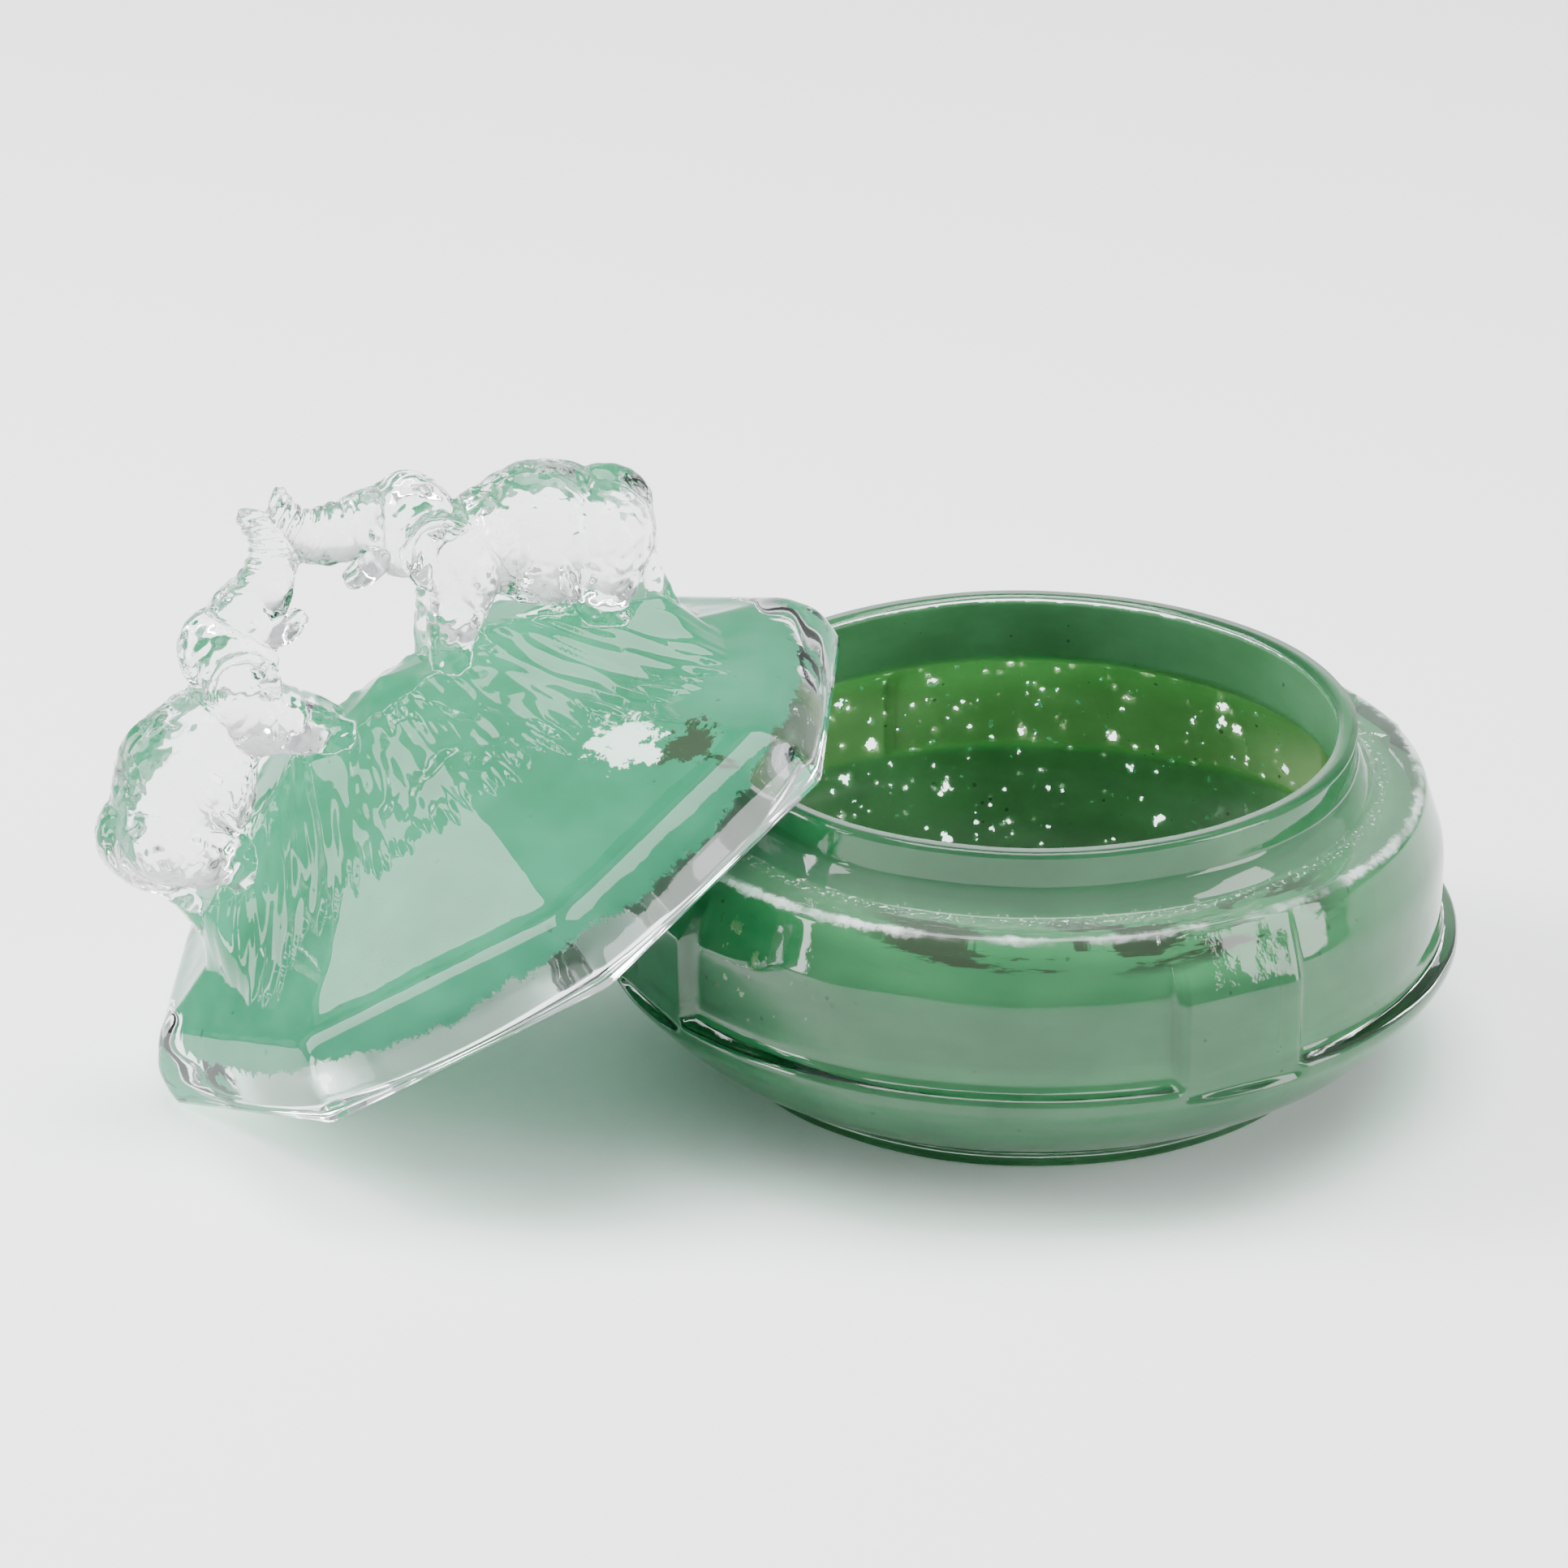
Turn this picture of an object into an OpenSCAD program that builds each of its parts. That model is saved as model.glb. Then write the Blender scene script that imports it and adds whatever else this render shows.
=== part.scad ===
// Glass powder jar: a thick squat bowl with four flat facets, and a loose eight-sided lid.
// The lid is one casting with its handle: two elephants that climb the roof, trunks raised together.
// The lid stands off the jar, leaning on the neck with one corner on the table.

/* [Bowl] */
// Radius of the foot
foot_r = 44.4; // [40:0.1:46]
// Widest radius, at the ring under the belt
ring_r = 63.5; // [62.5:0.1:66]
// Radius of the upright belt
belt_r = 60.9; // [59:0.1:62]
// Radius of the shoulder's upper edge
shoulder_r = 57.6; // [56:0.1:59]
// Height of the flat seat around the neck
seat_z = 42.4; // [41:0.1:46]
// Outer radius of the neck
neck_r = 48.1; // [47:0.1:48.6]
// Radius of the mouth
mouth_r = 45.2; // [43:0.1:45.6]
// Height of the neck above the seat
neck_h = 8.5; // [6:0.1:8.6]
// Thickness of the glass
wall = 4.3; // [3.5:0.1:5]
// Width of each flat facet
facet_w = 19.4; // [12:0.2:24]
// Direction of the first facet, the others follow every quarter turn
facet_turn = 27.5; // [0:0.5:90]

/* [Lid] */
// Distance from the lid's centre to its corners
lid_r = 59.6; // [58:0.1:62]
// Height of the lid's upright edge, with its rounding
edge_h = 10.2; // [9:0.1:12]
// Height at which the sloping roof would come to a point
roof_top = 35.4; // [32:0.1:38]
// Radius of the hollow under the lid, which passes over the neck
hollow_r = 50.9; // [50.5:0.1:52]
// Height of the elephants' heads above the lid's lower face
head_z = 54.3; // [52:0.1:58]

/* [Colour coat] */
// Thickness of the lacquer inside the bowl and under the lid
coat = 0.25; // [0.15:0.05:0.4]

/* [Lean] */
// Tilt of the leaning lid
lean_tilt = 30.8; // [30.8:0.1:31.5]
// Tilt across the lean
lean_roll = 1.04; // [0:0.02:1.1]
// Distance from the bowl's axis to the lid's centre, away from the bowl
lean_reach = 76.3; // [76.3:0.1:90]
// Distance from the bowl's axis to the lid's centre, toward the front
lean_aside = 5.8; // [5:0.1:6]
// Turn of the lid's ridge from straight up the lean
lid_turn = 17.5; // [0:0.5:22]

/* [Hidden] */

rim_z = seat_z + neck_h;
belt_low = 20.6;
belt_high = 31.6;
ring_z = 18.6;
recess = 1.2;
floor_z = 4.6;
facet_low = 18.6;
// The facets stand upright over the belt, then lean in over the shoulder
facet_bend = 33;
facet_d = ring_r - 1.3;
facet_top_d = shoulder_r - 0.5;
// A shallow recess behind each facet, inside the bowl
recess_w = facet_w - 4.2;
recess_d = facet_d - 4.4;
far = ring_r + 10;
// Points where the hollow roof, the edge's flat top and the slope meet
lid_edge_r = lid_r - 7.6;
lid_edge_z = edge_h + 1.5;
lid_glass = 4.2;
// The coat keeps this clear of the many-sided hollow of the lid
coat_gap = 0.06;
crown_z = 32.6;

bowl_green = [0.36, 0.66, 0.50];
glass_white = [0.86, 0.93, 0.90, 0.6];
lid_green = [0.45, 0.72, 0.62];

// Points on an arc about c, from angle a to angle b
function arc(c, r, a, b, n) =
    [for (i = [0:n]) let (t = a + (b - a) * i / n) c + r * [cos(t), sin(t)]];

// Points from a to b on a line that bows out by sag to its right
function bow(a, b, sag, n) =
    let (d = b - a, side = [d[1], -d[0]] / norm(d))
    [for (i = [0:n]) let (t = i / n) a + d * t + side * 4 * sag * t * (1 - t)];

// Outline of the bowl's outside, from the axis under the foot up to the lip
function bowl_outline() = concat(
    [[0, recess], [foot_r - 6.2, recess], [foot_r - 5, 0]],
    arc([foot_r - 1, 1], 1, -90, -30, 3),
    bow([foot_r + 0.6, 1.6], [ring_r - 1.2, ring_z - 2], 1.6, 8),
    arc([ring_r - 1.3, ring_z], 1.3, -40, 80, 5),
    [[belt_r + 0.6, belt_low], [belt_r, belt_low + 0.8]],
    bow([belt_r, belt_high], [shoulder_r + 0.4, seat_z - 1.2], 0.7, 6),
    arc([shoulder_r - 0.8, seat_z - 1], 1, 20, 90, 3),
    [[neck_r + 3, seat_z]],
    arc([neck_r + 0.7, seat_z + 0.9], 1.1, -30, 90, 4),
    [[neck_r, seat_z + 2.6]],
    arc([neck_r - 1.4, rim_z - 1.4], 1.4, 0, 90, 4),
    arc([mouth_r + 1.2, rim_z - 1.2], 1.2, 90, 180, 4));

// Outline of the hollow, drawn in by e on every side, from the lip down to the axis
function hollow_outline(e) = concat(
    [[mouth_r - e, rim_z - 1.2 - e]],
    [[mouth_r - e, seat_z - 1.2 - e]],
    arc([mouth_r + 2, seat_z - 1.8], 2 + e, 180, 250, 3),
    bow([shoulder_r - wall - e, seat_z - wall - e], [belt_r - wall - e, belt_high - 2], -0.9, 4),
    [[belt_r - wall - e, belt_low + 1.6], [ring_r - wall - 0.6 - e, ring_z + 0.4]],
    bow([ring_r - wall - 1.1 - e, ring_z - 2 + e], [foot_r - 2.4 - e, floor_z + 0.8 + e], -1.4, 7),
    [[foot_r - 4.6 - e, floor_z + e], [0, floor_z + e]]);

// Four slabs of width w behind flat faces, upright at d up to bend and then leaning in to top_d
module facet_slabs(near, w, low, bend, high, d, top_d) {
    for (k = [0:3])
        rotate(facet_turn - 90 + 90 * k)
            rotate([90, 0, 0])
                linear_extrude(w, center = true)
                    polygon([[near, low], [d, low], [d, bend], [top_d, high], [near, high]]);
}

module bowl_form() {
    difference() {
        rotate_extrude($fn = 180)
            polygon(concat(bowl_outline(), [[0, rim_z - 1.2]]));
        facet_slabs(far, facet_w, facet_low, facet_bend, seat_z, facet_d, facet_top_d);
    }
    facet_slabs(belt_r - 8, facet_w, facet_low, facet_bend, seat_z, facet_d, facet_top_d);
}

// The space inside the bowl, drawn in by e
module hollow_form(e) {
    rotate_extrude($fn = 180)
        polygon(concat(hollow_outline(e), [[0, rim_z - 1.2 - e]]));
    facet_slabs(belt_r - 12, recess_w - 2 * e, belt_low + e, belt_high, belt_high + 4 - e,
                recess_d - e, recess_d - 4 - e);
}

module bowl() {
    color(bowl_green)
        difference() {
            bowl_form();
            hollow_form(0);
            translate([0, 0, rim_z - 1.3]) cylinder(r = mouth_r, h = 5, $fn = 180);
        }
}

// The coat stops at the lip and covers everything below it
module bowl_lacquer() {
    color(bowl_green)
        difference() {
            hollow_form(0);
            hollow_form(coat);
            translate([0, 0, rim_z - 1.8]) cylinder(r = mouth_r - coat, h = 5, $fn = 180);
        }
}

module lid_form() {
    rotate_extrude($fn = 8)
        polygon(concat(
            [[0, 0], [lid_r, 0]],
            arc([lid_r - 3.2, edge_h - 2.6], 2.6, 0, 80, 4),
            [[lid_edge_r, lid_edge_z], [3, roof_top - 3 * roof_fall()], [0, crown_z - 0.2]]));
}

// Fall of the roof along a corner for each millimetre outward
function roof_fall() = (roof_top - lid_edge_z) / lid_edge_r;

// Outline of the hollow under the lid, drawn in by e
function lid_hollow_outline(e) =
    let (top_r = hollow_r - 4.4, top_z = lid_edge_z - lid_glass + 1)
    concat(
        [[0, -0.01], [hollow_r - e, -0.01], [hollow_r - 0.4 - e, top_z - 3]],
        arc([top_r, top_z - 3], 4 - e, 5, 65, 3),
        [[9, roof_top - lid_glass - 3 - 10 * roof_fall() * 1.1 - e],
         [0, roof_top - lid_glass - 3 - 9 * roof_fall() - e]]);

// One ball of an animal's body, in the upright plane of the ridge
module lump(x, z, r, y = 0, flat = 1) {
    translate([x, y, z]) scale([1, flat, 1]) sphere(r, $fn = 20);
}

// A rounded limb through a list of balls [x, y, z, r]
module limb(balls) {
    for (i = [0:len(balls) - 2])
        hull()
            for (j = [i, i + 1])
                translate([balls[j][0], balls[j][1], balls[j][2]]) sphere(balls[j][3], $fn = 14);
}

// The elephant on the +X side, facing the middle and climbing the roof
module elephant() {
    // Back, from the neck to the rump
    hull() {
        lump(23.5, head_z - 11.2, 8.2, 0, 0.95);
        lump(37, head_z - 16.4, 9.2, 0, 0.95);
    }
    hull() {
        lump(15.6, head_z, 6.2, 0, 0.95);
        lump(23.5, head_z - 10, 7.4, 0, 0.95);
    }
    lump(11.6, head_z + 1.6, 4.8);
    for (side = [-1, 1]) {
        // Ear, tusk, foreleg and hind leg
        lump(15.8, head_z - 6.5, 5.4, side * 5.6, 0.35);
        limb([[10, side * 2.8, head_z - 3, 1.4], [3.8, side * 2.6, head_z - 3.6, 0.9]]);
        limb([[17.5, side * 3.4, head_z - 13, 4.8], [10, side * 4.2, crown_z + 1.6, 3.8]]);
        limb([[37, side * 3.8, head_z - 19, 6], [31.4, side * 4.4, head_z - 27, 4]]);
    }
    // Trunk, raised against the other one, and the tail
    limb([[10.4, 0, head_z + 1.6, 4.6], [5.4, 0, head_z + 4, 3.7], [2.3, 0, head_z + 8, 2.7],
          [2.6, 0, head_z + 12.2, 1.4]]);
    limb([[44, 0, head_z - 14, 2], [45.6, 0, head_z - 18.6, 1.9], [42.2, 0, head_z - 26, 1.8],
          [41.2, 0, head_z - 36, 1.7]]);
}

// The grassy bank along the ridge that the elephants stand on
module bank() {
    low = roof_top - 20.4;
    hull() {
        for (w = [[26, 0], [9, 1]])
            rotate([90, 0, 0])
                linear_extrude(w[0], center = true)
                    polygon([for (p = [[-44, low], [-30, low + 9], [-13, crown_z - 3.5],
                                       [13, crown_z - 3.5], [30, low + 9], [44, low], [0, low - 4]])
                             [p[0] * (1 - w[1] * 0.06), p[1] + w[1] * 3.5]]);
    }
}

// The lid about its own centre, ridge along X, lower face at 0
module lid_upright() {
    difference() {
        union() {
            lid_form();
            bank();
            elephant();
            mirror([1, 0, 0]) elephant();
        }
        rotate_extrude($fn = 72) polygon(lid_hollow_outline(0));
    }
}

module lid_lacquer_upright() {
    difference() {
        rotate_extrude($fn = 72) polygon(lid_hollow_outline(coat_gap));
        rotate_extrude($fn = 72) polygon(lid_hollow_outline(coat_gap + coat));
        translate([0, 0, -1]) cylinder(r = hollow_r, h = 2, $fn = 72);
    }
}

// Puts the lid against the bowl, its lowest corner on the table
module leaning() {
    rise = lid_r * (cos(lid_turn) * sin(lean_tilt)
                    + sin(lid_turn) * sin(lean_roll) * cos(lean_tilt));
    translate([-lean_reach, -lean_aside, rise])
        rotate([0, -lean_tilt, 0])
            rotate([lean_roll, 0, 0])
                rotate(lid_turn)
                    children();
}

module lid() {
    color(glass_white) leaning() lid_upright();
}

module lid_lacquer() {
    color(lid_green) leaning() lid_lacquer_upright();
}

bowl();
bowl_lacquer();
lid();
lid_lacquer();
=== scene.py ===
"""Looks of the glass powder jar: clear pressed glass with a green lacquer coat behind it.

Shapes are worked out in millimetres about the middle of the bowl's foot, or about the lid's own
centre with its ridge along X, and scaled to metres when their meshes are made.
"""
import math
import bmesh
import bpy
import numpy as np
from mathutils import Matrix, Vector


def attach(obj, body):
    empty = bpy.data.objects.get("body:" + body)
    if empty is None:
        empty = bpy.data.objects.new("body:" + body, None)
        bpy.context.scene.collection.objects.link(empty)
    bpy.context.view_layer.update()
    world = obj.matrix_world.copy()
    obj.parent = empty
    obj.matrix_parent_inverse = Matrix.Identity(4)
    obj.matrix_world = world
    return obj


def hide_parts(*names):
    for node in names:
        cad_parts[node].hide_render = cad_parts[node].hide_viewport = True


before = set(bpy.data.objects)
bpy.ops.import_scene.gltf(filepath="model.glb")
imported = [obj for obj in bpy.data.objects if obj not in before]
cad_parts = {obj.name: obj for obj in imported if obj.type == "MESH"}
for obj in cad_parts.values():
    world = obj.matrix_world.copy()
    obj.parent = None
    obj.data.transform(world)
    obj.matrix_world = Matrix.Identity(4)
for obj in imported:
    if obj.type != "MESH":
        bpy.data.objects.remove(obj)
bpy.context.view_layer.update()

MM = 0.001
AROUND = 480
# Bowl, in mm
NECK_TOP = 50.9
SEAT_Z = 42.4
MOUTH_R = 45.2
FACET_TURN = 27.5
FACET_HALF = 9.8
FACET_LOW_Z = 18.6
FACET_D = 62.2
FACET_BEND_Z = 33.0
FACET_TOP_D = 57.2
RECESS_D = 57.8
RECESS_HALF = 7.6
COAT_BITE = 0.06
COAT_PROUD = 0.22
COAT_TOP = NECK_TOP - 0.35
WAVE_SIZE = 17
WAVE_DEPTH = 0.22
EDGE_R = 57.4
EDGE_Z = 42.1
LID_TRACK_R = 51.6
# Lid, in mm
LID_R = 59.6
ROOF_TOP = 35.2
ROOF_FALL = 0.46
HOLLOW_R = 50.9
HOLLOW_LIP_Z = 2.0
CREST_Z = 33.0
TURF_LONG = 48.0
TURF_WIDE = 36.0
TURF_GRID = 0.45
BARE_PATCH = (0.0228, -0.0258)
STAIN_PATCH = (0.0292, -0.0318)
SKIN_GRAIN = 0.42
# Lean of the lid, in degrees and mm
LEAN_TILT = 30.8
LEAN_ROLL = 1.04
LEAN_X = -76.3
LEAN_Y = -5.8
LID_TURN = 17.5


def lean_matrix():
    """Where the lid lies: its lowest corner is on the table."""
    turn, tilt, roll = (math.radians(a) for a in (LID_TURN, LEAN_TILT, LEAN_ROLL))
    rise = LID_R * (math.cos(turn) * math.sin(tilt)
                    + math.sin(turn) * math.sin(roll) * math.cos(tilt))
    return (Matrix.Translation(Vector((LEAN_X, LEAN_Y, rise)) * MM)
            @ Matrix.Rotation(-tilt, 4, "Y")
            @ Matrix.Rotation(roll, 4, "X")
            @ Matrix.Rotation(turn, 4, "Z"))


def smooth_step(low, high, value):
    t = np.clip((value - low) / (high - low), 0, 1)
    return t * t * (3 - 2 * t)


def ripples(x, y, z=0.0, seed=0):
    """Smooth gradient noise at points, from about -1 to 1, with a grain of about 1."""
    rng = np.random.default_rng(seed)
    order = rng.permutation(256)
    slopes = rng.normal(size=(256, 3))
    slopes /= np.linalg.norm(slopes, axis=1, keepdims=True)
    spot = np.stack(np.broadcast_arrays(x, y, z), axis=-1).astype(float)
    cell = np.floor(spot).astype(int)
    part = spot - cell
    ease = part * part * part * (part * (part * 6 - 15) + 10)
    total = np.zeros(spot.shape[:-1])
    for corner in np.ndindex(2, 2, 2):
        at = cell + corner
        pick = order[(order[(order[at[..., 0] % 256] + at[..., 1]) % 256] + at[..., 2]) % 256]
        away = part - corner
        weight = np.prod(np.where(corner, ease, 1 - ease), axis=-1)
        total += weight * np.sum(slopes[pick] * away, axis=-1)
    return total * 1.6


def fillet(corners, step=0.6):
    """Points along a broken line whose corners (x, z, radius) are rounded, spaced about step apart."""
    out = []
    for i, (x, z, radius) in enumerate(corners):
        here = Vector((x, z))
        if i in (0, len(corners) - 1) or radius == 0:
            out.append(here)
            continue
        back = Vector(corners[i - 1][:2]) - here
        on = Vector(corners[i + 1][:2]) - here
        reach = min(radius, 0.48 * back.length, 0.48 * on.length)
        first = here + back.normalized() * reach
        last = here + on.normalized() * reach
        for k in range(7):
            t = k / 6
            out.append(first * (1 - t) ** 2 + here * 2 * t * (1 - t) + last * t * t)
    fine = [out[0]]
    for point in out[1:]:
        gap = (point - fine[-1]).length
        if gap < 1e-4:
            continue
        start = fine[-1]
        for k in range(1, max(1, round(gap / step)) + 1):
            fine.append(start.lerp(point, k / max(1, round(gap / step))))
    return np.array([(p.x, p.y) for p in fine])


def mesh_from(name, vertices, faces, matrix=None):
    """A smooth-shaded object from vertices in mm, moved by matrix into the shared frame."""
    mesh = bpy.data.meshes.new(name)
    mesh.from_pydata([tuple(v) for v in np.asarray(vertices) * MM], [], faces)
    if matrix is not None:
        mesh.transform(matrix)
    mesh.validate()
    mesh.update()
    for polygon in mesh.polygons:
        polygon.use_smooth = True
    obj = bpy.data.objects.new(name, mesh)
    bpy.context.scene.collection.objects.link(obj)
    return obj


def turned(name, outline, shape=None, matrix=None):
    """A closed solid turned from an outline that starts and ends on the axis.

    shape(r, z, angle) bends the rings, and may give new x, y and z."""
    angles = np.arange(AROUND) * 2 * math.pi / AROUND
    rows = outline[1:-1]
    inward = np.sum(outline[:-1, 0] * outline[1:, 1] - outline[1:, 0] * outline[:-1, 1]) < 0
    r = np.repeat(rows[:, :1], AROUND, axis=1)
    z = np.repeat(rows[:, 1:], AROUND, axis=1)
    angle = np.repeat(angles[None, :], len(rows), axis=0)
    if shape is not None:
        r, z = shape(r, z, angle)
    x, y = r * np.cos(angle), r * np.sin(angle)
    ring = np.stack([x, y, z], axis=-1).reshape(-1, 3)
    ends = np.array([(0, 0, outline[0][1]), (0, 0, outline[-1][1])])
    first, last = len(ring), len(ring) + 1
    faces = []
    for i in range(len(rows) - 1):
        a, b = i * AROUND, (i + 1) * AROUND
        for k in range(AROUND):
            n = (k + 1) % AROUND
            faces.append((a + k, a + n, b + n, b + k))
    tail = (len(rows) - 1) * AROUND
    for k in range(AROUND):
        n = (k + 1) % AROUND
        faces.append((first, n, k))
        faces.append((last, tail + k, tail + n))
    if inward:
        faces = [face[::-1] for face in faces]
    obj = mesh_from(name, np.concatenate([ring, ends]), faces, matrix)
    obj["rows"] = len(rows)
    return obj


# ---- Bowl ---------------------------------------------------------------------------------

BOWL_OUTSIDE = [
    (0, 1.2, 0), (37.6, 1.2, 2), (39.6, 0, 1), (44.6, 0, 0.8), (45.4, 2.4, 1.2),
    (55.0, 8.2, 12), (62.0, 15.6, 3), (63.5, 17.6, 1.2), (63.5, 19.7, 0.9), (61.2, 20.6, 0.7),
    (60.9, 22.0, 0.8), (61.1, 32.8, 2.2), (58.2, 41.6, 1.0), (57.2, 42.5, 0.6), (50.6, 42.4, 0.7),
    (49.9, 43.6, 0.9), (48.9, 44.9, 0.9), (48.0, 45.8, 1.2), (47.9, NECK_TOP, 1.6)]
BOWL_INSIDE = [
    (MOUTH_R, NECK_TOP, 1.6), (MOUTH_R, 41.2, 0.7), (46.8, 39.6, 1.0), (53.2, 38.2, 2.0),
    (56.6, 31.6, 2.5), (56.6, 22.2, 0.6), (58.2, 20.2, 0.8), (57.4, 16.4, 1.8), (50.2, 8.4, 10),
    (40.4, 4.6, 5), (0, 4.6, 0)]


def flat_pull(r, z, angle, face, half):
    """How far each point of a ring moves to lie on the nearest of four flat faces, or 0."""
    quarter = math.pi / 2
    off = (angle - math.radians(FACET_TURN - 90) + quarter / 2) % quarter - quarter / 2
    across = 1 - smooth_step(half - 0.35, half + 0.35, np.abs(r * np.sin(off)))
    return (face / np.cos(off) - r) * across


def facets(r, z, angle, row):
    """Presses four flat facets over the ring, belt and shoulder, with a recess behind each."""
    slope = (FACET_TOP_D - FACET_D) / (SEAT_Z - FACET_BEND_Z)
    face = FACET_D + slope * np.maximum(z - FACET_BEND_Z, 0)
    along = smooth_step(FACET_LOW_Z - 1.2, FACET_LOW_Z + 0.4, z) * (
        1 - smooth_step(SEAT_Z - 0.8, SEAT_Z - 0.1, z))
    front = (row < len(outside)) & (r > 56)
    out = flat_pull(r, z, angle, face, FACET_HALF) * along * front
    behind = (row >= len(outside)) & (r > 52)
    low = smooth_step(17.5, 20.5, z) * (1 - smooth_step(32, 37, z))
    back = np.maximum(flat_pull(r, z, angle, RECESS_D, RECESS_HALF), 0) * low * behind
    return r + out + back, z


def waves(r, z, angle):
    """The slight waviness of pressed glass, as a change of radius."""
    x, y = r * np.cos(angle), r * np.sin(angle)
    return ripples(x / WAVE_SIZE, y / WAVE_SIZE, z / WAVE_SIZE) * WAVE_DEPTH


def bowl_shape(r, z, angle):
    r, z = facets(r, z, angle, np.arange(len(r))[:, None] + 1)
    fade = smooth_step(20, 40, r)
    return r + waves(r, z, angle) * fade, z


outside = fillet(BOWL_OUTSIDE)
inside = fillet(BOWL_INSIDE)
bowl = turned("bowl_glass", np.concatenate([outside, inside]), bowl_shape)


def coat_shell(inner_wall, side):
    """Outline of a thin coat on a wall, bitten a little into the glass so that they meet.

    side is 1 where the hollow is to the right of the wall's line, and -1 where it is to the left."""
    step = np.gradient(inner_wall, axis=0)
    normal = side * np.stack([step[:, 1], -step[:, 0]], axis=1)
    normal /= np.linalg.norm(normal, axis=1, keepdims=True)
    into_glass = inner_wall - normal * COAT_BITE
    proud = inner_wall + normal * COAT_PROUD
    into_glass[-1, 0] = proud[-1, 0] = 0
    return np.concatenate([into_glass[::-1], proud])


coated = inside[inside[:, 1] < COAT_TOP]


def coat_shape(r, z, angle):
    """The coat follows the recesses and the waves of the glass behind it."""
    bitten = np.arange(len(r))[:, None] < len(coated) - 1
    off = np.where(bitten, COAT_BITE, -COAT_PROUD)
    wall, z = facets(r - off, z, angle, len(outside))
    return wall + off + waves(wall, z, angle) * smooth_step(20, 40, wall), z


bowl_coat = turned("bowl_coat", coat_shell(coated, 1), coat_shape)


# ---- Lid ----------------------------------------------------------------------------------

LID_OUTSIDE = [
    (0, ROOF_TOP - 1, 0), (10, ROOF_TOP - 1 - 10 * ROOF_FALL, 0), (51.0, 11.9, 1.4), (55.6, 10.6, 4.5),
    (59.2, 5.6, 4.0), (LID_R, 2.2, 2.0), (LID_R, 0, 0.9)]
LID_UNDER = [
    (HOLLOW_R + 0.4, 0, 1.1), (HOLLOW_R, 4.4, 2.0), (47.2, 8.4, 2.4), (20, 19.6, 8), (0, 22.6, 0)]


def octagon(r, angle, soft):
    """Radius of an eight-sided ring with its corners at r, rounded off over soft mm."""
    eighth = math.pi / 4
    off = (angle + eighth / 2) % eighth - eighth / 2
    inner = r * math.cos(eighth / 2)
    near = inner / np.cos(eighth / 2 - np.abs(off))
    far = inner / np.cos(eighth / 2 + np.abs(off))
    k = np.maximum(soft, 1e-3)
    mix = np.clip(0.5 + 0.5 * (far - near) / k, 0, 1)
    return far * (1 - mix) + near * mix - k * mix * (1 - mix)


lid_outside = fillet(LID_OUTSIDE)
lid_under = fillet(LID_UNDER, 0.8)


def lid_shape(r, z, angle):
    """Eight-sided outside with a wavy roof, round hollow, and a flat lower face between the two."""
    row = np.arange(len(r))[:, None] + 1
    eight = octagon(r, angle, np.where(z < 11, 1.2, 0.5))
    round_share = (row >= len(lid_outside)).astype(float)
    wavy = smooth_step(10.5, 12.5, z) * (1 - round_share)
    rise = ripples(r * np.cos(angle) / 6, r * np.sin(angle) / 6, seed=21) * 0.12 * wavy
    return eight + (r - eight) * round_share, z + rise


lid_plate = turned("lid_glass", np.concatenate([lid_outside, lid_under]), lid_shape)


def roof_z(x, y):
    """Height of the eight-sided roof."""
    angle = np.arctan2(y, x)
    eighth = math.pi / 4
    off = (angle + eighth / 2) % eighth - eighth / 2
    r = np.hypot(x, y)
    return ROOF_TOP - ROOF_FALL * r * np.cos(eighth / 2 - np.abs(off)) / math.cos(eighth / 2)


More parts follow.
